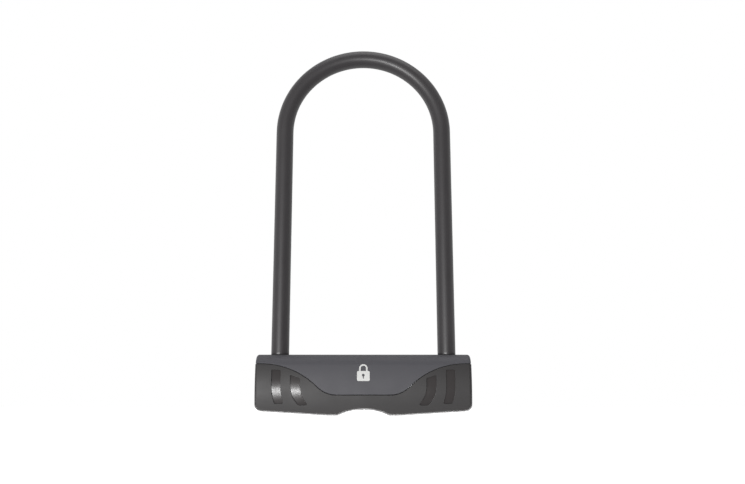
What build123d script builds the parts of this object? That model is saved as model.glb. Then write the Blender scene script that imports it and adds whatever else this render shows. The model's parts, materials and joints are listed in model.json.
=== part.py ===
from build123d import *
import math
import os

# U lock for bicycles, in millimetres. X runs along the crossbar, the front faces -Y and Z is up.
# The lock stands on the two lands beside the arch in its underside, and the origin is midway
# between them. It is drawn closed and unlocked: both bolts are drawn back from the shackle.

# Shackle
LEG_SPACING = 122.1
BAR_RADIUS = 6.0
SLEEVE_RADIUS = 6.6
ARCH_CENTRE_Z = 215.5
LEG_TIP_Z = 12.5
LEG_TIP_CHAMFER = 1.4
SLEEVE_END_Z = 42.1
NOTCH_CLEARANCE = 0.5

# Outside of the crossbar
LENGTH = 154.0
UPPER_LENGTH = 153.7
DEPTH = 36.0
HEIGHT = 43.0
WIDEST_Z = 24.0
SIDE_BULGE_RADIUS = 78.0
TOP_ROUND = 9.5
END_BOTTOM_ROUND = 5.0
EDGE_ROUND = 2.0
END_RISE = 3.1
LAND_INNER_X = 18.4
LAND_OUTER_X = 25.0
LAND_INNER_ROUND = 2.5
LAND_OUTER_ROUND = 20.0
KEY_ARCH_RISE = 4.2
RIM_NOTCH_X = ((-5.0, 0.3), (1.5, 6.0))
RIM_NOTCH_TOP_Z = 5.2
RIM_NOTCH_DEPTH = 1.6

# Seam between the two covers: low in the middle, a slope, then high to the ends
SEAM_LOW_Z = 14.2
SEAM_LOW_HALF = 19.0
SEAM_LOW_RADIUS = 19.5
SEAM_HIGH_X = 72.6
SEAM_HIGH_RADIUS = 57.0
SEAM_SLOPE = math.radians(43.5)
SEAM_GAP = 0.25
SEAM_EDGE_ROUND = 0.3

# Steel tube and what closes it
TUBE_Z = 22.5
TUBE_RADIUS = 15.5
TUBE_BORE = 13.0
TUBE_HALF = 72.2
LEG_HOLE_RADIUS = 6.3
COVER_BORE = 15.6
END_PLUG_LENGTH = 4.2
CROSS_PIN_RADIUS = 1.5
BUSHING_RADIUS = 9.0
BUSHING_BORE = 6.3
BUSHING_TOP_Z = 42.0
SEAT_RADIUS = 6.6
SEAT_TOP_Z = 12.2

# Lock core, a casting in two halves
CORE_RADIUS = 12.9
CORE_HALF = 52.0
CORE_SCREW_X = 33.0
CORE_SCREW_Z = (13.6, 31.2)
CORE_SCREW_RADIUS = 1.25
CORE_SCREW_HEAD = 2.2
CORE_PIN_X = 42.0
CORE_PIN_Z = 31.0

# Cylinder, plug and pins
CYLINDER_RADIUS = 8.0
CYLINDER_Z = (7.2, 24.0)
RIDGE_HALF_WIDTH = 2.6
RIDGE_END_X = 13.8
RIDGE_BOTTOM_Z = 9.95
PLUG_RADIUS = 6.0
PLUG_FIT = 0.05
PLUG_Z = (7.4, 24.2)
FLANGE_RADIUS = 7.0
FLANGE_TOP_Z = 8.9
GUARD_RADIUS = 5.6
GUARD_TOP_Z = 8.6
KEYWAY_X = (-4.4, 3.0)
KEYWAY_HALF_WIDTH = 0.9
PIN_COUNT = 5
PIN_FIRST_Z = 11.5
PIN_PITCH = 2.7
PIN_RADIUS = 1.1
PIN_FIT = 0.05
KEY_PIN_LENGTHS = (3.9, 3.3, 3.6, 3.0, 3.7)
CHAMBER_BOTTOM_X = 0.7
DRIVER_X = (6.1, 9.1)
CAP_X = 12.8
CAP_HALF_WIDTH = 1.6
SPRING_TURNS = 6
SPRING_RADIUS = 0.75
SPRING_WIRE = 0.16

# Cam on the plug's tail: two spiral slots push the bolts out in a quarter turn
CAM_RADIUS = 10.8
CAM_Z = (24.4, 27.0)
CAM_PIN_START = 4.2
BOLT_TRAVEL = 4.2
DRIVE_PIN_RADIUS = 1.2
SLOT_HALF_WIDTH = 1.35
TAIL_HALF = (1.4, 2.2)
TAIL_TOP_Z = 26.2
CAM_SCREW_HEAD = 2.1
CAM_SCREW_RADIUS = 1.2

# Bolts
BOLT_HALF_WIDTH = 4.5
BOLT_Z = (18.0, 26.0)
BOLT_TIP_X = 54.4
BOLT_ARM_Z = (27.4, 29.4)
BOLT_ARM_X = 2.2
BOLT_STEP_X = (11.6, 14.6, 18.0)
BOLT_ROOM = 0.2

# Key cover under the arch, its frame and its opening
COVER_PLATE_X = (-6.0, 16.8)
COVER_PLATE_Z = (5.3, 6.2)
COVER_PLATE_HALF = 5.0
COVER_NUB_X = (-5.0, 6.4)
COVER_NUB_HALF = 3.2
COVER_NUB_Z = 3.9
COVER_NUB_GROOVE = 1.0
COVER_TRAVEL = 9.6
FRAME_X = (-8.2, 28.2)
FRAME_HALF = 6.5
FRAME_Z = (5.2, 6.9)

# Grip inlays: each window runs straight down and then curves inwards. For the two windows on the
# right half of the front: inner side, outer side, inner top, outer top, bottom, and how far the
# foot of each side has curved inwards.
WINDOWS = (
    (44.8, 51.7, 25.7, 28.2, 7.1, 6.0),
    (58.7, 65.0, 31.7, 31.9, 8.2, 2.3),
)
WINDOW_BEND_Z = 21.0
WINDOW_ROUND = 0.8
WINDOW_RIM_ROUND = 0.25
INLAY_DEPTH = 0.8
INLAY_THICKNESS = 1.0

# Small parts of the covers
COVER_SCREW_X = 33.0
COVER_SCREW_HEAD = 2.9
COVER_SCREW_RADIUS = 1.5
COVER_SCREW_Z = (1.0, 9.3)
RELIEF_X = (44.0, 60.0)
RELIEF_SIZE = (12.0, 14.0)
RELIEF_FLOOR_Z = 5.0
MARK_Z = 29.0
MARK_BODY = (9.0, 7.0)
MARK_DEPTH = 0.5
MARK_PROUD = 0.12


def block(x, y, z):
    """A box between the two limits given for each axis."""
    centre = Pos((x[0] + x[1]) / 2, (y[0] + y[1]) / 2, (z[0] + z[1]) / 2)
    return centre * Box(x[1] - x[0], y[1] - y[0], z[1] - z[0])


def rod_x(radius, x, z=TUBE_Z):
    return Pos((x[0] + x[1]) / 2, 0, z) * Rot(0, 90, 0) * Cylinder(radius, x[1] - x[0])


def rod_y(radius, y, x, z):
    return Pos(x, (y[0] + y[1]) / 2, z) * Rot(90, 0, 0) * Cylinder(radius, y[1] - y[0])


def rod_z(radius, z, x=0.0, y=0.0):
    return Pos(x, y, (z[0] + z[1]) / 2) * Cylinder(radius, z[1] - z[0])


def front_prism(outline, depth=DEPTH):
    """A face drawn in X and Z, drawn out along Y to both sides."""
    return extrude(Plane.XZ * outline, amount=depth, both=True)


def side_y(z):
    """How far the bulged side stands from the middle plane at a height."""
    return DEPTH / 2 - SIDE_BULGE_RADIUS + math.sqrt(SIDE_BULGE_RADIUS**2 - (z - WIDEST_Z) ** 2)


def section(inset=0.0):
    """The crossbar's cross-section in Y and Z, moved in by inset."""
    half = DEPTH / 2
    foot, head = side_y(0), side_y(HEIGHT)
    outline = [
        Line((-foot, 0), (foot, 0)),
        ThreePointArc((foot, 0), (half, WIDEST_Z), (head, HEIGHT)),
        Line((head, HEIGHT), (-head, HEIGHT)),
        ThreePointArc((-head, HEIGHT), (-half, WIDEST_Z), (-foot, 0)),
    ]
    face = make_face(outline)
    face = fillet(face.vertices().sort_by(Axis.Y)[-2:], TOP_ROUND)
    if inset:
        face = offset(face, amount=-inset)
    return face


def skin_core(inset):
    """The crossbar's section drawn out past both ends, moved in by inset."""
    return extrude(Plane.YZ * section(inset), amount=LENGTH, both=True)


def silhouette(length):
    """The crossbar's outline seen from the front, with the arch for the key."""
    half = length / 2
    arch = ThreePointArc((-LAND_INNER_X, 0), (0, KEY_ARCH_RISE), (LAND_INNER_X, 0))
    points = [
        (LAND_INNER_X, 0),
        (LAND_OUTER_X, 0),
        (half, END_RISE),
        (half, HEIGHT),
        (-half, HEIGHT),
        (-half, END_RISE),
        (-LAND_OUTER_X, 0),
        (-LAND_INNER_X, 0),
    ]
    face = make_face([arch, Polyline(points)])

    def corners(x, z):
        return [v for v in face.vertices() if abs(abs(v.X) - x) < 0.1 and abs(v.Y - z) < 0.1]

    face = fillet(corners(half, END_RISE), END_BOTTOM_ROUND)
    face = fillet(corners(LAND_OUTER_X, 0), LAND_OUTER_ROUND)
    return fillet(corners(LAND_INNER_X, 0), LAND_INNER_ROUND)


def bar_body(length):
    """The whole outside of the crossbar as one solid, with its rims rounded."""
    body = skin_core(0) & front_prism(silhouette(length))
    return fillet([e for e in body.edges() if on_rim(e, length)], EDGE_ROUND)


def on_rim(edge, length):
    """True for an edge where an end or the underside meets the long skin."""
    middle = edge @ 0.5
    at_end = abs(middle.X) > length / 2 - END_BOTTOM_ROUND
    if abs(middle.Y) < 1:
        return at_end and middle.Z > HEIGHT - 0.1
    return at_end or middle.Z < END_RISE + END_BOTTOM_ROUND


def seam_face(shift, above):
    """Everything above or below the seam line, which is moved up by shift."""
    low_r = SEAM_LOW_RADIUS - shift
    high_r = SEAM_HIGH_RADIUS + shift
    low_centre_z = SEAM_LOW_Z + SEAM_LOW_RADIUS
    sine, cosine = math.sin(SEAM_SLOPE), math.cos(SEAM_SLOPE)
    foot = (SEAM_LOW_HALF + low_r * sine, low_centre_z - low_r * cosine)
    run = (SEAM_HIGH_X - SEAM_LOW_HALF - (SEAM_LOW_RADIUS + SEAM_HIGH_RADIUS) * sine) / cosine
    high_centre_z = low_centre_z - (SEAM_LOW_RADIUS + SEAM_HIGH_RADIUS) * cosine + run * sine
    head = (SEAM_HIGH_X - high_r * sine, high_centre_z + high_r * cosine)
    half_sine, half_cosine = math.sin(SEAM_SLOPE / 2), math.cos(SEAM_SLOPE / 2)
    foot_middle = (SEAM_LOW_HALF + low_r * half_sine, low_centre_z - low_r * half_cosine)
    head_middle = (SEAM_HIGH_X - high_r * half_sine, high_centre_z + high_r * half_cosine)
    start = (SEAM_LOW_HALF, low_centre_z - low_r)
    end = (SEAM_HIGH_X, high_centre_z + high_r)

    def flip(point):
        return (-point[0], point[1])

    edges = [Line(flip(start), start)]
    for turn in (lambda p: p, flip):
        edges += [
            ThreePointArc(turn(start), turn(foot_middle), turn(foot)),
            Line(turn(foot), turn(head)),
            ThreePointArc(turn(head), turn(head_middle), turn(end)),
            Line(turn(end), turn((LENGTH, end[1]))),
        ]
    far_z = 2 * HEIGHT if above else -HEIGHT
    edges.append(Polyline([(LENGTH, end[1]), (LENGTH, far_z), (-LENGTH, far_z), (-LENGTH, end[1])]))
    return make_face(edges)


def round_seam_edges(cover):
    """Rounds the edges where the seam's faces come out through the skin."""
    seam_faces = [f for f in cover.faces() if is_seam_face(f)]
    edges = [e for f in seam_faces for e in f.edges()]
    outer = [e for e in edges if sum(e.is_same(other) for other in edges) == 1]
    return fillet(outer, SEAM_EDGE_ROUND)


def is_seam_face(face):
    """True for a face drawn out along Y that lies between the covers."""
    middle = face.position_at(0.5, 0.5)
    normal = face.normal_at(middle)
    within = END_RISE + END_BOTTOM_ROUND < middle.Z < HEIGHT - EDGE_ROUND
    return abs(middle.Y) < 0.01 and abs(normal.Y) < 0.01 and abs(normal.Z) > 0.3 and within


def window_prism(inner_x, outer_x, inner_top, outer_top, bottom, sweep_in):
    """One grip window, drawn through the whole depth."""
    drop = WINDOW_BEND_Z - bottom

    def side(x, top):
        straight = Line((x, top), (x, WINDOW_BEND_Z))
        bend = TangentArc((x, WINDOW_BEND_Z), (x - sweep_in, WINDOW_BEND_Z - drop), tangent=(0, -1))
        return straight, bend

    inner = side(inner_x, inner_top)
    outer = side(outer_x, outer_top)
    top = Line(inner[0] @ 0, outer[0] @ 0)
    foot = Line(inner[1] @ 1, outer[1] @ 1)
    face = make_face([*inner, *outer, top, foot])
    corners = [v for v in face.vertices() if abs(v.Y - WINDOW_BEND_Z) > 0.1]
    return front_prism(fillet(corners, WINDOW_ROUND))


def window_prisms():
    right = [window_prism(*window) for window in WINDOWS]
    return right + [mirror(prism, Plane.YZ) for prism in right]


def on_side(edge):
    """True for an edge whose middle lies on the bulged front or rear."""
    middle = edge @ 0.5
    return abs(abs(middle.Y) - side_y(middle.Z)) < 0.005


def leg_xs():
    return (-LEG_SPACING / 2, LEG_SPACING / 2)


def upper_cover():
    cover = bar_body(UPPER_LENGTH) & front_prism(seam_face(SEAM_GAP / 2, above=True))
    cover = round_seam_edges(cover)
    cover -= rod_x(COVER_BORE, (-TUBE_HALF, TUBE_HALF))
    for x in leg_xs():
        cover -= rod_z(BUSHING_RADIUS, (TUBE_Z, HEIGHT + 1), x)
    return cover - front_mark_prism(MARK_DEPTH, 1.0)


def lower_cover():
    cover = bar_body(LENGTH) & front_prism(seam_face(-SEAM_GAP / 2, above=False))
    cover = round_seam_edges(cover)
    cover -= rod_x(COVER_BORE, (-TUBE_HALF, TUBE_HALF))
    for x in leg_xs():
        cover -= rod_z(BUSHING_RADIUS, (TUBE_Z, HEIGHT), x)
    cover -= rod_z(CYLINDER_RADIUS + 0.3, (FRAME_Z[1], TUBE_Z))
    pocket_floor = skin_core(INLAY_DEPTH + INLAY_THICKNESS)
    closed = cover
    for prism in window_prisms():
        cover -= prism - pocket_floor
    rims = [e for e in new_edges(closed, combined=cover) if on_side(e)]
    cover = fillet(rims, WINDOW_RIM_ROUND) - rim_notches()
    nub_path = (COVER_NUB_X[0] - 0.4, COVER_NUB_X[1] + COVER_TRAVEL + 0.4)
    nub_side = COVER_NUB_HALF + 0.4
    cover -= block(nub_path, (-nub_side, nub_side), (-1, FRAME_Z[0] + 1))
    cover -= block(FRAME_X, (-FRAME_HALF, FRAME_HALF), (FRAME_Z[0], TUBE_Z))
    for side in (-1, 1):
        x = side * COVER_SCREW_X
        cover -= rod_z(COVER_SCREW_RADIUS, (-1, TUBE_Z), x)
        cover -= rod_z(COVER_SCREW_HEAD + 0.2, (-1, COVER_SCREW_Z[0] + 2.0), x)
        for relief in RELIEF_X:
            room = side * relief
            half_x, half_y = RELIEF_SIZE[0] / 2, RELIEF_SIZE[1] / 2
            cover -= block((room - half_x, room + half_x), (-half_y, half_y), (RELIEF_FLOOR_Z, TUBE_Z))
    return cover


def rim_notches():
    """Two short finger notches in each long edge of the key arch, with a rib between them."""
    notches = []
    for x_range in RIM_NOTCH_X:
        for side in (-1, 1):
            face_y = side * DEPTH / 2
            reach = sorted((face_y - side * RIM_NOTCH_DEPTH, face_y + side))
            notches.append(block(x_range, reach, (-1, RIM_NOTCH_TOP_Z)))
    return notches


def grip_inlays(front):
    """The glossy strips set into the windows on one face, as separate solids."""
    layer = skin_core(INLAY_DEPTH) - skin_core(INLAY_DEPTH + INLAY_THICKNESS)
    near = (-DEPTH, 0) if front else (0, DEPTH)
    face_side = block((-LENGTH, LENGTH), near, (0, HEIGHT))
    return [prism & layer & face_side for prism in window_prisms()]


def front_mark_prism(depth, proud):
    """A plain padlock figure between a layer under the front face and one proud of it."""
    width, height = MARK_BODY
    top = MARK_Z + height / 2 - 1.6
    figure = Pos(0, MARK_Z - 1.6) * RectangleRounded(width, height, 1.1)
    loop = Circle(3.0) - Circle(1.9)
    loop &= Pos(0, 2) * Rectangle(8, 4)
    figure += Pos(0, top + 1.8) * loop
    for side in (-1, 1):
        figure += Pos(side * 2.45, top + 0.8) * Rectangle(1.1, 2.4)
    figure -= Pos(0, MARK_Z - 1.0) * Circle(1.0)
    figure -= Pos(0, MARK_Z - 2.4) * Rectangle(0.8, 2.2)
    layer = skin_core(-proud) - skin_core(depth)
    front = block((-LENGTH, LENGTH), (-DEPTH, 0), (0, HEIGHT))
    return front_prism(figure) & layer & front


def crossbar_tube():
    tube = rod_x(TUBE_RADIUS, (-TUBE_HALF, TUBE_HALF)) - rod_x(TUBE_BORE, (-TUBE_HALF, TUBE_HALF))
    for x in leg_xs():
        tube -= rod_z(LEG_HOLE_RADIUS, (TUBE_Z, HEIGHT), x)
    tube -= rod_z(CYLINDER_RADIUS + 0.2, (0, TUBE_Z))
    for side in (-1, 1):
        tube -= rod_z(COVER_SCREW_RADIUS, (0, TUBE_Z), side * COVER_SCREW_X)
    return tube - cross_pin_rods()


def cross_pin_rods():
    """Pins across the tube: one through each end plug and two through the lock core."""
    plug_x = TUBE_HALF - END_PLUG_LENGTH / 2
    plug_reach = TUBE_RADIUS - 0.3
    core_reach = math.sqrt(TUBE_RADIUS**2 - (CORE_PIN_Z - TUBE_Z + CROSS_PIN_RADIUS) ** 2)
    rods = []
    for side in (-1, 1):
        rods.append(rod_y(CROSS_PIN_RADIUS, (-plug_reach, plug_reach), side * plug_x, TUBE_Z))
        rods.append(rod_y(CROSS_PIN_RADIUS, (-core_reach, core_reach), side * CORE_PIN_X, CORE_PIN_Z))
    return rods


def end_plug(side):
    x = sorted((side * (TUBE_HALF - END_PLUG_LENGTH), side * TUBE_HALF))
    return rod_x(TUBE_BORE, x) - cross_pin_rods()


def leg_bushing(x):
    ring = rod_z(BUSHING_RADIUS, (TUBE_Z, BUSHING_TOP_Z), x) - rod_z(BUSHING_BORE, (0, HEIGHT), x)
    ring -= rod_x(COVER_BORE, (-LENGTH, LENGTH))
    inner = ring.edges().filter_by(GeomType.CIRCLE).group_by(Axis.Z)[-1]
    return chamfer(inner, 0.6)


def leg_seat(x):
    return rod_z(SEAT_RADIUS, (0, SEAT_TOP_Z), x) & rod_x(TUBE_BORE, (-TUBE_HALF, TUBE_HALF))


def u_bar(radius, end_z):
    """A round bar bent to a U: two legs and a half turn."""
    legs = [rod_z(radius, (end_z, ARCH_CENTRE_Z), x) for x in leg_xs()]
    circle = Plane.XY.offset(ARCH_CENTRE_Z) * Pos(LEG_SPACING / 2, 0) * Circle(radius)
    turn_axis = Axis((0, 0, ARCH_CENTRE_Z), (0, -1, 0))
    return legs[0] + revolve(circle, turn_axis, 180) + legs[1]


def shackle_bar():
    bar = u_bar(BAR_RADIUS, LEG_TIP_Z)
    tips = bar.edges().filter_by(GeomType.CIRCLE).group_by(Axis.Z)[0]
    bar = chamfer(tips, LEG_TIP_CHAMFER)
    floor_x = BOLT_TIP_X + BOLT_TRAVEL + 0.4
    notch_z = (BOLT_Z[0] - NOTCH_CLEARANCE, BOLT_Z[1] + NOTCH_CLEARANCE)
    return bar - block((-floor_x, floor_x), (-DEPTH, DEPTH), notch_z)


def shackle_sleeve():
    return u_bar(SLEEVE_RADIUS, SLEEVE_END_Z) - u_bar(BAR_RADIUS, SLEEVE_END_Z - 1)


def bolt_outline(room=0.0, travel=0.0):
    """The right bolt seen from the front, or the room it needs over its travel."""
    inner_x, bar_x, riser_x = BOLT_STEP_X
    end_x = BOLT_TIP_X + travel
    return make_face(
        Polyline(
            [
                (bar_x - room, BOLT_Z[0] - room),
                (end_x, BOLT_Z[0] - room),
                (end_x, BOLT_Z[1] + room),
                (riser_x + travel + room, BOLT_Z[1] + room),
                (riser_x + travel + room, BOLT_ARM_Z[1] + room),
                (BOLT_ARM_X - room, BOLT_ARM_Z[1] + room),
                (BOLT_ARM_X - room, BOLT_ARM_Z[0] - room),
                (inner_x - room, BOLT_ARM_Z[0] - room),
                (inner_x - room, CAM_Z[0] - 0.1),
                (bar_x - room, CAM_Z[0] - 0.1),
                (bar_x - room, BOLT_Z[0] - room),
            ]
        )
    )


def bolt(side):
    body = front_prism(bolt_outline(), BOLT_HALF_WIDTH)
    tip = body.edges().group_by(Axis.X)[-1]
    body = chamfer(tip, 0.8) - rod_z(DRIVE_PIN_RADIUS, BOLT_ARM_Z, CAM_PIN_START)
    return body if side > 0 else Rot(0, 0, 180) * body


def drive_pin(side):
    return rod_z(DRIVE_PIN_RADIUS, (CAM_Z[0] + 0.3, BOLT_ARM_Z[1]), side * CAM_PIN_START)


def core():
    """The lock core before it is cut into its two halves."""
    body = rod_x(CORE_RADIUS, (-CORE_HALF, CORE_HALF))
    body -= rod_z(CYLINDER_RADIUS + 0.05, (0, CAM_Z[0]))
    ridge = RIDGE_HALF_WIDTH + 0.05
    body -= block((0, RIDGE_END_X + 0.1), (-ridge, ridge), (0, CAM_Z[0]))
    body -= rod_z(CAM_RADIUS + 0.3, (CYLINDER_Z[1], BOLT_ARM_Z[0] - BOLT_ROOM))
    room = front_prism(bolt_outline(BOLT_ROOM, BOLT_TRAVEL), BOLT_HALF_WIDTH + BOLT_ROOM)
    body -= [room, Rot(0, 0, 180) * room]
    body -= block((-5, 5), (-BOLT_HALF_WIDTH, BOLT_HALF_WIDTH), (BOLT_ARM_Z[0] - 0.3, BOLT_ARM_Z[1] + 0.2))
    return body - cross_pin_rods() - core_screws()


def core_half(front):
    reach = (-DEPTH, 0) if front else (0, DEPTH)
    return core() & block((-LENGTH, LENGTH), reach, (0, HEIGHT))


def core_screws():
    """Four screws that draw the core's halves together, driven from the rear."""
    screws = []
    for x in (-CORE_SCREW_X, CORE_SCREW_X):
        for z in CORE_SCREW_Z:
            side_y = math.sqrt(CORE_RADIUS**2 - (abs(z - TUBE_Z) + CORE_SCREW_HEAD) ** 2)
            shank = rod_y(CORE_SCREW_RADIUS, (-side_y + 1.5, side_y - 1.0), x, z)
            head = rod_y(CORE_SCREW_HEAD, (side_y - 2.0, side_y), x, z)
            screws.append(shank + head)
    return screws


def cylinder_housing():
    body = rod_z(CYLINDER_RADIUS, CYLINDER_Z)
    ridge_y = (-RIDGE_HALF_WIDTH, RIDGE_HALF_WIDTH)
    body += block((0, RIDGE_END_X), ridge_y, (RIDGE_BOTTOM_Z, CYLINDER_Z[1]))
    body -= rod_z(PLUG_RADIUS + PLUG_FIT, (0, HEIGHT))
    body -= rod_z(FLANGE_RADIUS + 0.3, (0, FLANGE_TOP_Z + 0.1))
    for z in pin_heights():
        body -= rod_x(PIN_RADIUS + PIN_FIT, (PLUG_RADIUS - 0.5, RIDGE_END_X), z)
    return body - chamber_cap()


def chamber_cap():
    """The brass strip that closes the pin chambers and backs their springs."""
    first, last = pin_heights()[0], pin_heights()[-1]
    z = (first - PIN_RADIUS - 0.2, last + PIN_RADIUS + 0.2)
    return block((CAP_X, RIDGE_END_X), (-CAP_HALF_WIDTH, CAP_HALF_WIDTH), z)


def pin_heights():
    return [PIN_FIRST_Z + PIN_PITCH * i for i in range(PIN_COUNT)]


def keyway(z):
    """The key's slot with one ward on each side, cut between two heights."""
    slot = block(KEYWAY_X, (-KEYWAY_HALF_WIDTH, KEYWAY_HALF_WIDTH), z)
    slot -= block((-2.9, -2.1), (-KEYWAY_HALF_WIDTH, -0.35), z)
    return slot - block((-0.9, -0.1), (0.35, KEYWAY_HALF_WIDTH), z)


def plug():
    body = rod_z(PLUG_RADIUS, PLUG_Z) + rod_z(FLANGE_RADIUS, (PLUG_Z[0], FLANGE_TOP_Z))
    tail_x, tail_y = TAIL_HALF
    tail = rod_z(tail_y + 0.3, (PLUG_Z[1], TAIL_TOP_Z))
    body += tail & block((-tail_x, tail_x), (-tail_y, tail_y), (PLUG_Z[1], TAIL_TOP_Z))
    body -= drill_guard(solid=True)
    body -= keyway((0, PLUG_Z[1] - 3.0))
    for z in pin_heights():
        body -= rod_x(PIN_RADIUS + PIN_FIT, (CHAMBER_BOTTOM_X, FLANGE_RADIUS), z)
    return body - cam_screw()


def drill_guard(solid=False):
    """The hardened disc in the plug's face that stops a drill."""
    disc = rod_z(GUARD_RADIUS, (PLUG_Z[0], GUARD_TOP_Z))
    return disc if solid else disc - keyway((0, HEIGHT))


def key_pin(index):
    outer = rod_x(PIN_RADIUS, (0, FLANGE_RADIUS), pin_heights()[index])
    inner_x = PLUG_RADIUS - KEY_PIN_LENGTHS[index]
    within = rod_z(PLUG_RADIUS - 0.03, (0, HEIGHT))
    return outer & within & block((inner_x, FLANGE_RADIUS), (-DEPTH, DEPTH), (0, HEIGHT))


def driver_pin(index):
    pin = rod_x(PIN_RADIUS, DRIVER_X, pin_heights()[index])
    return chamfer(pin.edges().filter_by(GeomType.CIRCLE), 0.15)


def pin_spring(index):
    """The spring between a driver pin and the cap."""
    length = CAP_X - DRIVER_X[1] - 2 * SPRING_WIRE
    pitch = length / SPRING_TURNS
    coil = Helix(pitch, length, SPRING_RADIUS)
    wire = sweep(Plane(coil @ 0, z_dir=coil % 0) * Circle(SPRING_WIRE), path=coil, is_frenet=True)
    return Pos(DRIVER_X[1] + SPRING_WIRE, 0, pin_heights()[index]) * Rot(0, 90, 0) * wire


def cam_slot():
    """The spiral slot that the right bolt's pin runs in, in a quarter turn."""
    steps = 12
    rate = BOLT_TRAVEL / (math.pi / 2)

    def at(turn, aside):
        radius = CAM_PIN_START + rate * turn
        along = math.atan2(radius, rate)
        centre_x, centre_y = radius * math.cos(-turn), radius * math.sin(-turn)
        normal = -turn - along + math.pi / 2
        return (centre_x + aside * math.cos(normal), centre_y + aside * math.sin(normal))

    turns = [math.pi / 2 * i / steps for i in range(steps + 1)]
    outer = Spline([at(turn, SLOT_HALF_WIDTH) for turn in turns])
    inner = Spline([at(turn, -SLOT_HALF_WIDTH) for turn in turns])
    face = make_face([outer, inner, Line(inner @ 0, outer @ 0), Line(inner @ 1, outer @ 1)])
    for turn in (turns[0], turns[-1]):
        face += Pos(*at(turn, 0)) * Circle(SLOT_HALF_WIDTH)
    return extrude(face, amount=HEIGHT)


def cam():
    tail_x, tail_y = TAIL_HALF
    disc = rod_z(CAM_RADIUS, CAM_Z) - [cam_slot(), Rot(0, 0, 180) * cam_slot()]
    disc -= block((-tail_x, tail_x), (-tail_y, tail_y), (CAM_Z[0], TAIL_TOP_Z))
    return disc - cam_screw()


def cam_screw():
    shank = rod_z(CAM_SCREW_RADIUS, (PLUG_Z[1] - 2.6, TAIL_TOP_Z))
    return shank + rod_z(CAM_SCREW_HEAD, (TAIL_TOP_Z, CAM_Z[1]))


def cover_screw(side):
    x = side * COVER_SCREW_X
    head_top = COVER_SCREW_Z[0] + 2.0
    shank = rod_z(COVER_SCREW_RADIUS, COVER_SCREW_Z, x)
    head = rod_z(COVER_SCREW_HEAD, (COVER_SCREW_Z[0], head_top), x)
    socket = Pos(x, 0, COVER_SCREW_Z[0]) * extrude(RegularPolygon(1.25, 6), amount=1.2)
    return shank + head - socket


def keyway_frame():
    """The black frame over the cover plate: a roof, two sides and a hole for the key."""
    body = block(FRAME_X, (-FRAME_HALF, FRAME_HALF), FRAME_Z)
    track = COVER_PLATE_HALF + 0.3
    track_x = (COVER_PLATE_X[0] - 0.3, COVER_PLATE_X[1] + COVER_TRAVEL + 0.3)
    body -= block(track_x, (-track, track), (0, COVER_PLATE_Z[1] + 0.1))
    return body - block((-5.4, 4.0), (-2.4, 2.4), (0, HEIGHT))


def key_cover():
    """The sliding cover: a flat plate with a finger nub that hangs through the opening."""
    plate = block(COVER_PLATE_X, (-COVER_PLATE_HALF, COVER_PLATE_HALF), COVER_PLATE_Z)
    nub = block(COVER_NUB_X, (-COVER_NUB_HALF, COVER_NUB_HALF), (COVER_NUB_Z, COVER_PLATE_Z[0]))
    nub = fillet(nub.edges().filter_by(Axis.Z), 2.0)
    nub = fillet(nub.edges().group_by(Axis.Z)[0], 0.5)
    middle = (COVER_NUB_X[0] + COVER_NUB_X[1]) / 2
    groove = (middle - COVER_NUB_GROOVE / 2, middle + COVER_NUB_GROOVE / 2)
    nub -= block(groove, (-DEPTH, DEPTH), (0, COVER_NUB_Z + COVER_NUB_GROOVE))
    return plate + nub


def all_parts():
    left, right = leg_xs()
    parts = {
        "shackle_bar": shackle_bar(),
        "shackle_sleeve": shackle_sleeve(),
        "crossbar_tube": crossbar_tube(),
        "upper_cover": upper_cover(),
        "lower_cover": lower_cover(),
        "grip_inlays_front": grip_inlays(front=True),
        "grip_inlays_rear": grip_inlays(front=False),
        "padlock_mark": front_mark_prism(MARK_DEPTH, MARK_PROUD),
        "end_plug_left": end_plug(-1),
        "end_plug_right": end_plug(1),
        "cross_pins": cross_pin_rods(),
        "leg_bushing_left": leg_bushing(left),
        "leg_bushing_right": leg_bushing(right),
        "leg_seat_left": leg_seat(left),
        "leg_seat_right": leg_seat(right),
        "core_front": core_half(front=True),
        "core_rear": core_half(front=False),
        "core_screws": core_screws(),
        "cover_screws": [cover_screw(-1), cover_screw(1)],
        "cylinder_housing": cylinder_housing(),
        "chamber_cap": chamber_cap(),
        "plug": plug(),
        "drill_guard": drill_guard(),
        "cam": cam(),
        "cam_screw": cam_screw(),
        "bolt_left": bolt(-1),
        "bolt_right": bolt(1),
        "drive_pin_left": drive_pin(-1),
        "drive_pin_right": drive_pin(1),
        "keyway_frame": keyway_frame(),
        "key_cover": key_cover(),
    }
    for index in range(PIN_COUNT):
        parts[f"key_pin_{index + 1}"] = key_pin(index)
        parts[f"driver_pin_{index + 1}"] = driver_pin(index)
        parts[f"pin_spring_{index + 1}"] = pin_spring(index)
    return parts


def main():
    os.makedirs("parts", exist_ok=True)
    for name, shape in all_parts().items():
        solids = shape if isinstance(shape, list) else [shape]
        pieces = [solid for item in solids for solid in item.solids()]
        export_step(pieces[0] if len(pieces) == 1 else Compound(pieces), f"parts/{name}.step")


main()
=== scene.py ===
import json
import math

import bmesh
import bpy
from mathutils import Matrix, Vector, noise as value_noise


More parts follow.
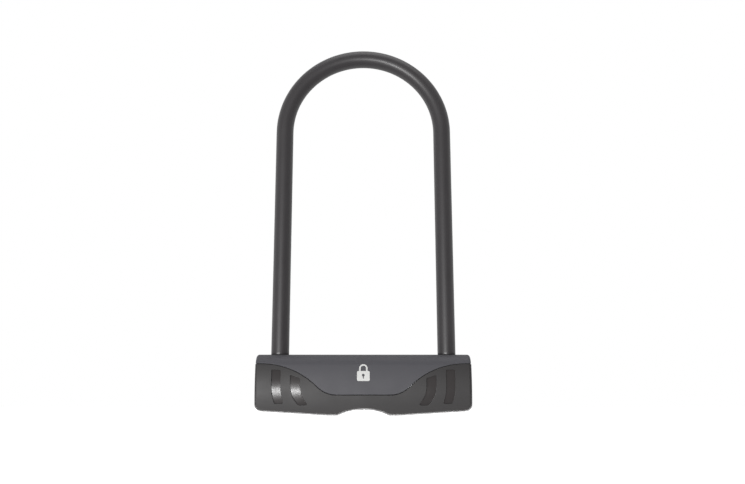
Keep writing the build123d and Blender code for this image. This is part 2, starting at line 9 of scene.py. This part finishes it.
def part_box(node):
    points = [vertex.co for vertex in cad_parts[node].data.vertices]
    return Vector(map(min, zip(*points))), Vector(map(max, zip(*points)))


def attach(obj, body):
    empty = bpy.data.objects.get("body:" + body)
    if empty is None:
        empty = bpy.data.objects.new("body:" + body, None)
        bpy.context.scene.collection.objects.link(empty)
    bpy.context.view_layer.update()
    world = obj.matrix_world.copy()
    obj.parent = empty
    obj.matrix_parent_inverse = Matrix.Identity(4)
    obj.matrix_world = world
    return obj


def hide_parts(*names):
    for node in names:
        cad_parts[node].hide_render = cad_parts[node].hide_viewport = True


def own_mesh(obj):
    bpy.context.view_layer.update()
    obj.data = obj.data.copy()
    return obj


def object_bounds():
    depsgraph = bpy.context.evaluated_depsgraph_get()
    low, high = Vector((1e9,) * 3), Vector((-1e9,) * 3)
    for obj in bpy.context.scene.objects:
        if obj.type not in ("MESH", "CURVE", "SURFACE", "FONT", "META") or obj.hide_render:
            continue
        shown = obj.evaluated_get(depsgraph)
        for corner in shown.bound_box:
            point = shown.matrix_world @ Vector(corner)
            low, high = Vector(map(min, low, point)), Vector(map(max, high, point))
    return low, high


# The looks of a U lock for bicycles. Everything is in metres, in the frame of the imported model:
# the front faces -Y, X runs along the crossbar and Z is up.
MM = 0.001

# Camera, low in front of the crossbar and tilted up at the shackle
CAMERA_PLACE = (0, -575 * MM, 6 * MM)
CAMERA_PITCH = math.radians(11.99)
CAMERA_LENS = 37.52
CAMERA_SHIFT = 0.0123
CAMERA_CLIP = 10 * MM
SENSOR_WIDTH = 36.0

# Floor, white to the camera and left out of shadows and reflections
FLOOR_HALF = 4.0
FLOOR_WHITE = 0.9
FLOOR_ROUGHNESS = 0.9
FLOOR_GLOW = 0.8

# Sky, by the side that its light comes from
SKY_FRONT = 0.35
SKY_BACK = 0.8
SKY_FLOOR = 0.5
SKY_LEFT = 0.10

# Softboxes: a long low one to the front left, one overhead and a thin one under the crossbar
KEY_PLACE = (-0.564, -1.717, -0.281)
KEY_SIZE = (0.9, 0.12)
KEY_POWER = 26.0
TOP_PLACE = (0.1, -0.3, 1.3)
TOP_SIZE = (0.9, 0.9)
TOP_POWER = 3.5
BOUNCE_PLACE = (0, 0.002, -0.06)
BOUNCE_SIZE = (0.4, 0.02)
BOUNCE_POWER = 0.65

# Sleeve
SLEEVE_SIDES = 72
SLEEVE_STEP = 3.0 * MM
SLEEVE_END_ROUND = 0.35 * MM
SLEEVE_WAVE = 0.035 * MM
SLEEVE_WAVE_PITCH = 9.0 * MM

# Pin springs
SPRING_COUNT = 5
SPRING_TURNS = 7
SPRING_END_TURNS = 1.0
SPRING_STEPS = 24
SPRING_WIRE = 0.13 * MM
SPRING_WIRE_SIDES = 8
SPRING_ROOM = 0.03 * MM

# Vinyl coat of the shackle
VINYL_COLOUR = (0.0245, 0.0215, 0.0235)
VINYL_SCUFFED = (0.06, 0.058, 0.06)
VINYL_ROUGHNESS = 0.47
VINYL_RELIEF = 0.012 * MM

# Grip inlays
GLOSS_COLOUR = (0.038, 0.034, 0.034)
GLOSS_ROUGHNESS = 0.20
GLOSS_SPECULAR = 0.31
GLOSS_WAVES = 0.01 * MM

# White figure
WHITE_COLOUR = (0.58, 0.58, 0.57)
WHITE_CLEAN = (0.60, 0.60, 0.59)
WHITE_GRIMY = (0.46, 0.46, 0.45)
WHITE_ROUGHNESS = 0.38

# Moulded plastics: colour, colour of rubbed edges, roughness, specular level, grain size and depth
PLASTIC_EDGE = 0.5 * MM
PLASTICS = {
    "satin_plastic": ((0.0635, 0.062, 0.0715), (0.08, 0.08, 0.09), 0.56, 0.50, 0.35 * MM, 0.008 * MM),
    "soft_touch": ((0.0270, 0.0247, 0.0252), (0.045, 0.042, 0.042), 0.50, 0.45, 0.28 * MM, 0.010 * MM),
    "black_nylon": ((0.014, 0.014, 0.015), (0.03, 0.03, 0.03), 0.48, 0.50, 0.40 * MM, 0.010 * MM),
    "black_rubber": ((0.018, 0.018, 0.018), (0.03, 0.03, 0.03), 0.75, 0.50, 0.50 * MM, 0.015 * MM),
}

# Metals: colour, stained colour, roughness, size of the tool marks, their stretch, and depth
METAL_EDGE = 0.25 * MM
METALS = {
    "hardened_steel": ((0.34, 0.345, 0.36), (0.27, 0.272, 0.28), 0.32, 0.25 * MM, (1, 1, 14), 0.004 * MM),
    "zinc_plated_steel": ((0.62, 0.63, 0.66), (0.50, 0.50, 0.50), 0.30, 0.6 * MM, (1, 1, 1), 0.006 * MM),
    "spring_steel": ((0.55, 0.55, 0.56), (0.40, 0.40, 0.41), 0.26, 0.2 * MM, (1, 1, 1), 0.002 * MM),
    "nickel_silver": ((0.66, 0.64, 0.60), (0.52, 0.50, 0.46), 0.24, 0.15 * MM, (8, 1, 1), 0.002 * MM),
    "die_cast_zinc": ((0.50, 0.51, 0.53), (0.36, 0.37, 0.38), 0.48, 0.9 * MM, (1, 1, 1), 0.020 * MM),
    "brass": ((0.78, 0.60, 0.28), (0.55, 0.38, 0.15), 0.28, 0.2 * MM, (1, 1, 6), 0.003 * MM),
}

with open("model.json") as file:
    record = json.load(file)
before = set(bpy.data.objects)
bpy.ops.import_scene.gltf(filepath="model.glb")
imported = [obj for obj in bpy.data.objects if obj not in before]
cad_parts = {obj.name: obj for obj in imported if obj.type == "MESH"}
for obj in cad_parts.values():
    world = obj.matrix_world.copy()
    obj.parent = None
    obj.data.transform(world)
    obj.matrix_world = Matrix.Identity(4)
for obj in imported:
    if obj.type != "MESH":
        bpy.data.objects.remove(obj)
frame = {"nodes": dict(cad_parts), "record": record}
cad_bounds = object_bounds()


def shader_node(tree, kind, inputs, **settings):
    """Adds a shader node, then sets its fields and fills or links its inputs."""
    item = tree.nodes.new("ShaderNode" + kind)
    for field, value in settings.items():
        setattr(item, field, value)
    for key, value in inputs.items():
        if isinstance(value, bpy.types.NodeSocket):
            tree.links.new(value, item.inputs[key])
        else:
            item.inputs[key].default_value = value
    return item


def noise(tree, size, detail=2.0, stretch=(1, 1, 1), shift=0.0):
    """Noise from 0 to 1 in the object's own space, with features of the given size."""
    place = shader_node(tree, "TexCoord", {}).outputs["Object"]
    scale = tuple(1 / s for s in stretch)
    mapped = shader_node(tree, "Mapping", {"Vector": place, "Scale": scale, "Location": (shift,) * 3})
    inputs = {"Vector": mapped.outputs["Vector"], "Scale": 1 / size, "Detail": detail}
    return shader_node(tree, "TexNoise", inputs).outputs["Fac"]


def remap(tree, value, source, target):
    """Carries a value from the source range to the target range, and stops it at both ends."""
    inputs = {"Value": value}
    inputs["From Min"], inputs["From Max"] = source
    inputs["To Min"], inputs["To Max"] = target
    return shader_node(tree, "MapRange", inputs).outputs["Result"]


def mix_colours(tree, factor, first, second):
    item = shader_node(tree, "Mix", {}, data_type="RGBA")
    for index, value in ((0, factor), (6, first), (7, second)):
        if isinstance(value, bpy.types.NodeSocket):
            tree.links.new(value, item.inputs[index])
        else:
            item.inputs[index].default_value = (*value, 1)
    return item.outputs[2]


def math_node(tree, operation, first, second):
    return shader_node(tree, "Math", {0: first, 1: second}, operation=operation).outputs[0]


def bump(tree, height, distance):
    return shader_node(tree, "Bump", {"Height": height, "Distance": distance}).outputs["Normal"]


def edge_mask(tree, radius):
    """1 along outer edges and 0 on open faces, from how far a rounded normal turns away."""
    rounded = shader_node(tree, "Bevel", {"Radius": radius}, samples=6).outputs["Normal"]
    true = shader_node(tree, "NewGeometry", {}).outputs["Normal"]
    dot = shader_node(tree, "VectorMath", {0: rounded, 1: true}, operation="DOT_PRODUCT")
    return remap(tree, dot.outputs["Value"], (0.995, 0.9), (0.0, 1.0))


def shade(colour, share):
    """The colour made darker or lighter by one factor."""
    return tuple(c * share for c in colour)


def new_look(name, colour, roughness, **inputs):
    """A material with its constant values set, and its tree and shader to build on."""
    material = bpy.data.materials.new(name)
    material.use_nodes = True
    tree = material.node_tree
    shader = tree.nodes["Principled BSDF"]
    shader.inputs["Base Color"].default_value = (*colour, 1)
    shader.inputs["Roughness"].default_value = roughness
    for key, value in inputs.items():
        shader.inputs[key.replace("_", " ")].default_value = value
    return material, tree, shader


def moulded_plastic(name, colour, worn, roughness, specular, grain, depth):
    """Textured moulded plastic: fine spark grain, faint mottling and edges rubbed smoother."""
    material, tree, shader = new_look(name, colour, roughness, Specular_IOR_Level=specular)
    mottle = noise(tree, 14 * MM, detail=3.0)
    dust = noise(tree, 1.3 * MM, detail=4.0, shift=7.0)
    edges = edge_mask(tree, PLASTIC_EDGE)
    tone = math_node(tree, "MULTIPLY", mottle, 0.5)
    tone = math_node(tree, "ADD", tone, math_node(tree, "MULTIPLY", dust, 0.35))
    light_share = remap(tree, tone, (0.5, 1.0), (0.0, 1.0))
    body = mix_colours(tree, light_share, shade(colour, 0.9), shade(colour, 1.1))
    broken = math_node(tree, "MULTIPLY", edges, remap(tree, dust, (0.35, 0.65), (0.3, 1.0)))
    tree.links.new(mix_colours(tree, broken, body, worn), shader.inputs["Base Color"])
    rough = remap(tree, mottle, (0.3, 0.7), (roughness - 0.03, roughness + 0.04))
    rough = math_node(tree, "SUBTRACT", rough, math_node(tree, "MULTIPLY", edges, 0.12))
    tree.links.new(rough, shader.inputs["Roughness"])
    fine = noise(tree, grain, detail=3.0)
    tree.links.new(bump(tree, fine, depth), shader.inputs["Normal"])
    return material


def vinyl_coat(name):
    """Soft vinyl tube: orange peel, dull rubbed patches and a few fine lengthwise scuffs."""
    material, tree, shader = new_look(
        name, VINYL_COLOUR, VINYL_ROUGHNESS, Coat_Weight=0.35, Coat_Roughness=0.3
    )
    patches = noise(tree, 22 * MM, detail=3.0)
    peel = noise(tree, 0.9 * MM)
    pores = noise(tree, 0.25 * MM, shift=3.0)
    scuffs = noise(tree, 0.7 * MM, detail=3.0, stretch=(1, 1, 22), shift=11.0)
    rubbed = remap(tree, scuffs, (0.66, 0.8), (0.0, 0.6))
    base = mix_colours(tree, patches, shade(VINYL_COLOUR, 0.88), shade(VINYL_COLOUR, 1.14))
    tree.links.new(mix_colours(tree, rubbed, base, VINYL_SCUFFED), shader.inputs["Base Color"])
    rough = remap(tree, patches, (0.3, 0.7), (VINYL_ROUGHNESS - 0.03, VINYL_ROUGHNESS + 0.04))
    rough = math_node(tree, "ADD", rough, math_node(tree, "MULTIPLY", rubbed, 0.1))
    tree.links.new(rough, shader.inputs["Roughness"])
    relief = math_node(tree, "ADD", peel, math_node(tree, "MULTIPLY", pores, 0.35))
    tree.links.new(bump(tree, relief, VINYL_RELIEF), shader.inputs["Normal"])
    return material


def polished_inlay(name):
    """Polished black plastic: slow waves from the mould and hairline scratches."""
    material, tree, shader = new_look(name, GLOSS_COLOUR, GLOSS_ROUGHNESS, Specular_IOR_Level=GLOSS_SPECULAR)
    smear = noise(tree, 6 * MM, detail=3.0)
    hairs = noise(tree, 0.35 * MM, stretch=(1, 1, 14), shift=5.0)
    rough = remap(tree, smear, (0.3, 0.7), (GLOSS_ROUGHNESS - 0.015, GLOSS_ROUGHNESS + 0.02))
    rough = math_node(tree, "ADD", rough, remap(tree, hairs, (0.62, 0.75), (0.0, 0.04)))
    tree.links.new(rough, shader.inputs["Roughness"])
    waves = noise(tree, 5 * MM, detail=1.0)
    tree.links.new(bump(tree, waves, GLOSS_WAVES), shader.inputs["Normal"])
    return material


def metal(name, colour, stained, roughness, grain, stretch, depth):
    """Worked metal: tool marks along one direction, stained tone and brighter edges."""
    material, tree, shader = new_look(name, colour, roughness, Metallic=1.0)
    stain = noise(tree, 5 * MM, detail=4.0)
    marks = noise(tree, grain, detail=3.0, stretch=stretch, shift=2.0)
    edges = edge_mask(tree, METAL_EDGE)
    tone = mix_colours(tree, remap(tree, stain, (0.35, 0.7), (0.0, 1.0)), colour, stained)
    tree.links.new(mix_colours(tree, edges, tone, shade(colour, 1.25)), shader.inputs["Base Color"])
    rough = remap(tree, marks, (0.3, 0.7), (roughness - 0.07, roughness + 0.09))
    tree.links.new(rough, shader.inputs["Roughness"])
    tree.links.new(bump(tree, marks, depth), shader.inputs["Normal"])
    return material


def printed_white(name):
    """White moulded figure with a slight gloss and a little grime in its grain."""
    material, tree, shader = new_look(name, WHITE_COLOUR, WHITE_ROUGHNESS)
    grime = noise(tree, 1.2 * MM, detail=4.0)
    spots = remap(tree, grime, (0.6, 0.75), (0.0, 0.35))
    tree.links.new(mix_colours(tree, spots, WHITE_CLEAN, WHITE_GRIMY), shader.inputs["Base Color"])
    rough = remap(tree, grime, (0.3, 0.7), (WHITE_ROUGHNESS - 0.05, WHITE_ROUGHNESS + 0.07))
    tree.links.new(rough, shader.inputs["Roughness"])
    return material


def make_looks():
    """One material for each material slot of the record."""
    looks = {
        "vinyl_coat": vinyl_coat("vinyl_coat"),
        "gloss_black": polished_inlay("gloss_black"),
        "white_print": printed_white("white_print"),
    }
    for name, values in PLASTICS.items():
        looks[name] = moulded_plastic(name, *values)
    for name, values in METALS.items():
        looks[name] = metal(name, *values)
    return looks


def dress(looks):
    """Gives every carried-over node the material of its slot in the record."""
    for part in frame["record"]["subparts"]:
        mesh = frame["nodes"][part["node"]].data
        mesh.materials.clear()
        mesh.materials.append(looks[part["material_slot"]])


def new_piece(name, bm, looks, slot, body):
    """A new object from a bmesh, smooth, in its slot's material and riding on its body."""
    bmesh.ops.recalc_face_normals(bm, faces=bm.faces)
    mesh = bpy.data.meshes.new(name)
    bm.to_mesh(mesh)
    bm.free()
    for face in mesh.polygons:
        face.use_smooth = True
    mesh.materials.append(looks[slot])
    piece = bpy.data.objects.new(name, mesh)
    bpy.context.scene.collection.objects.link(piece)
    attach(piece, body)
    return piece


def ring(bm, centre, side, up, radius, count):
    """A ring of vertices round a centre, in the plane of two square directions."""
    verts = []
    for i in range(count):
        turn = 2 * math.pi * i / count
        arm = side * math.cos(turn) + up * math.sin(turn)
        verts.append(bm.verts.new(centre + arm * radius))
    return verts


def bridge(bm, rings):
    """Faces between each ring and the next."""
    for one, two in zip(rings, rings[1:]):
        for i in range(len(one)):
            j = (i + 1) % len(one)
            bm.faces.new((one[i], one[j], two[j], two[i]))


def sleeve_path(low, high, radius):
    """Centre points and outward directions along the sleeve, from the left end to the right."""
    half = (high.x - low.x) / 2 - radius
    arch_z = high.z - radius - half
    leg = arch_z - low.z
    leg_steps = round(leg / SLEEVE_STEP)
    arch_steps = round(math.pi * half / SLEEVE_STEP)
    points = []
    for i in range(leg_steps):
        points.append((Vector((-half, 0, low.z + leg * i / leg_steps)), Vector((-1, 0, 0))))
    for i in range(arch_steps + 1):
        turn = math.pi * (1 - i / arch_steps)
        out = Vector((math.cos(turn), 0, math.sin(turn)))
        points.append((Vector((0, 0, arch_z)) + out * half, out))
    for i in range(leg_steps):
        points.append((Vector((half, 0, arch_z - leg * (i + 1) / leg_steps)), Vector((1, 0, 0))))
    return points


def wavy_ring(bm, centre, out, radius):
    """A ring of the sleeve's outside, drawn in a little by an amount that varies over its wall."""
    circle = ring(bm, centre, out, Vector((0, 1, 0)), radius, SLEEVE_SIDES)
    for vert in circle:
        swell = value_noise.noise(vert.co / SLEEVE_WAVE_PITCH)
        inward = (centre - vert.co).normalized()
        vert.co += inward * SLEEVE_WAVE * (swell + 1) / 2
    return circle


def sleeve_mesh():
    """The sleeve as a tube whose wall swells and thins a little, with rounded ends."""
    low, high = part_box("shackle_sleeve")
    outer = (high.y - low.y) / 2
    bar_low, bar_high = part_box("shackle_bar")
    bore = (bar_high.y - bar_low.y) / 2
    rim = outer - SLEEVE_END_ROUND
    path = sleeve_path(low, high, outer)
    across = Vector((0, 1, 0))
    bm = bmesh.new()
    rings = [ring(bm, *path[0], across, radius, SLEEVE_SIDES) for radius in (bore, rim)]
    lifts = [SLEEVE_END_ROUND] + [0] * (len(path) - 2) + [SLEEVE_END_ROUND]
    for (centre, out), lift in zip(path, lifts):
        rings.append(wavy_ring(bm, centre + Vector((0, 0, lift)), out, outer))
    rings += [ring(bm, *path[-1], across, radius, SLEEVE_SIDES) for radius in (rim, bore)]
    for centre, out in reversed(path[1:-1]):
        rings.append(ring(bm, centre, out, across, bore, SLEEVE_SIDES))
    rings.append(rings[0])
    bridge(bm, rings)
    return bm


def sleeve(looks):
    piece = new_piece("coated_sleeve", sleeve_mesh(), looks, "vinyl_coat", "shackle")
    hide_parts("shackle_sleeve")


def coil_points(low, high):
    """Centre line of a compression spring along X: closed turns at both ends, open ones between."""
    radius = (high.y - low.y) / 2 - SPRING_WIRE - SPRING_ROOM
    middle = (low + high) / 2
    start = low.x + SPRING_WIRE + SPRING_ROOM
    end = high.x - SPRING_WIRE - SPRING_ROOM
    closed = 2 * SPRING_WIRE * SPRING_END_TURNS
    open_turns = SPRING_TURNS - 2 * SPRING_END_TURNS
    points = []
    for i in range(SPRING_TURNS * SPRING_STEPS + 1):
        turns = i / SPRING_STEPS
        head = min(turns, SPRING_END_TURNS) / SPRING_END_TURNS
        tail = max(turns - SPRING_TURNS + SPRING_END_TURNS, 0) / SPRING_END_TURNS
        share = min(max(turns - SPRING_END_TURNS, 0), open_turns) / open_turns
        x = start + closed * (head + tail) + (end - start - 2 * closed) * share
        turn = 2 * math.pi * turns
        y = middle.y + radius * math.cos(turn)
        z = middle.z + radius * math.sin(turn)
        points.append(Vector((x, y, z)))
    return points


def spring_mesh(low, high):
    """Round wire swept along the coil and capped at both ends."""
    points = coil_points(low, high)
    bm = bmesh.new()
    rings = []
    for i, point in enumerate(points):
        along = (points[min(i + 1, len(points) - 1)] - points[max(i - 1, 0)]).normalized()
        side = along.cross(Vector((1, 0, 0))).normalized()
        rings.append(ring(bm, point, side, side.cross(along), SPRING_WIRE, SPRING_WIRE_SIDES))
    bridge(bm, rings)
    bm.faces.new(rings[0])
    bm.faces.new(rings[-1])
    return bm


def pin_springs(looks):
    """A real coil in place of each pin spring; it is pressed against its fixed end by its pin."""
    for i in range(1, SPRING_COUNT + 1):
        node = f"pin_spring_{i}"
        low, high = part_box(node)
        piece = new_piece(f"coil_{i}", spring_mesh(low, high), looks, "spring_steel", "crossbar")
        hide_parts(node)
        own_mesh(piece)


def stage():
    """A plain pale floor that only the camera sees."""
    mesh = bpy.data.meshes.new("floor")
    half = FLOOR_HALF
    corners = [(-half, -half, 0), (half, -half, 0), (half, half, 0), (-half, half, 0)]
    mesh.from_pydata(corners, [], [(0, 1, 2, 3)])
    glow = {"Emission_Color": (1, 1, 1, 1), "Emission_Strength": FLOOR_GLOW}
    material, _tree, _shader = new_look("studio_floor", (FLOOR_WHITE,) * 3, FLOOR_ROUGHNESS, **glow)
    mesh.materials.append(material)
    floor = bpy.data.objects.new("floor", mesh)
    bpy.context.scene.collection.objects.link(floor)
    floor.visible_shadow = False
    floor.visible_glossy = False
    floor.visible_diffuse = False


def sky():
    """White behind the object for the camera, and darker in front for what the object reflects."""
    world = bpy.data.worlds.new("studio")
    world.use_nodes = True
    tree = world.node_tree
    direction = shader_node(tree, "TexCoord", {}).outputs["Generated"]
    split = shader_node(tree, "SeparateXYZ", {"Vector": direction})
    around = remap(tree, split.outputs["Y"], (-0.6, 0.4), (SKY_FRONT, SKY_BACK))
    left = remap(tree, split.outputs["X"], (0.2, -0.8), (0.0, SKY_LEFT))
    below = remap(tree, split.outputs["Z"], (-0.5, -0.8), (0.0, SKY_FLOOR))
    light = math_node(tree, "MAXIMUM", math_node(tree, "ADD", around, left), below)
    seen = shader_node(tree, "LightPath", {}).outputs["Is Camera Ray"]
    strength = math_node(tree, "MAXIMUM", light, seen)
    tree.links.new(strength, tree.nodes["Background"].inputs["Strength"])
    tree.nodes["Background"].inputs["Color"].default_value = (1, 1, 1, 1)
    bpy.context.scene.world = world


def softbox(name, place, size, power):
    """A rectangular light that faces the middle of the object and that the camera doesn't see."""
    low, high = cad_bounds
    data = bpy.data.lights.new(name, "AREA")
    data.shape = "RECTANGLE"
    data.size, data.size_y = size
    data.energy = power
    light = bpy.data.objects.new(name, data)
    light.location = place
    aim = (low + high) / 2 - Vector(place)
    light.rotation_euler = aim.to_track_quat("-Z", "Y").to_euler()
    light.visible_camera = False
    bpy.context.scene.collection.objects.link(light)


def camera():
    data = bpy.data.cameras.new("camera")
    data.lens = CAMERA_LENS
    data.sensor_width = SENSOR_WIDTH
    data.shift_x = CAMERA_SHIFT
    data.clip_start = CAMERA_CLIP
    item = bpy.data.objects.new("camera", data)
    item.location = CAMERA_PLACE
    item.rotation_euler = (math.pi / 2 + CAMERA_PITCH, 0, 0)
    bpy.context.scene.collection.objects.link(item)
    bpy.context.scene.camera = item


def main():
    looks = make_looks()
    dress(looks)
    sleeve(looks)
    pin_springs(looks)
    stage()
    sky()
    softbox("key", KEY_PLACE, KEY_SIZE, KEY_POWER)
    softbox("top", TOP_PLACE, TOP_SIZE, TOP_POWER)
    softbox("floor_bounce", BOUNCE_PLACE, BOUNCE_SIZE, BOUNCE_POWER)
    camera()
    bpy.context.scene.view_settings.view_transform = "Standard"


main()
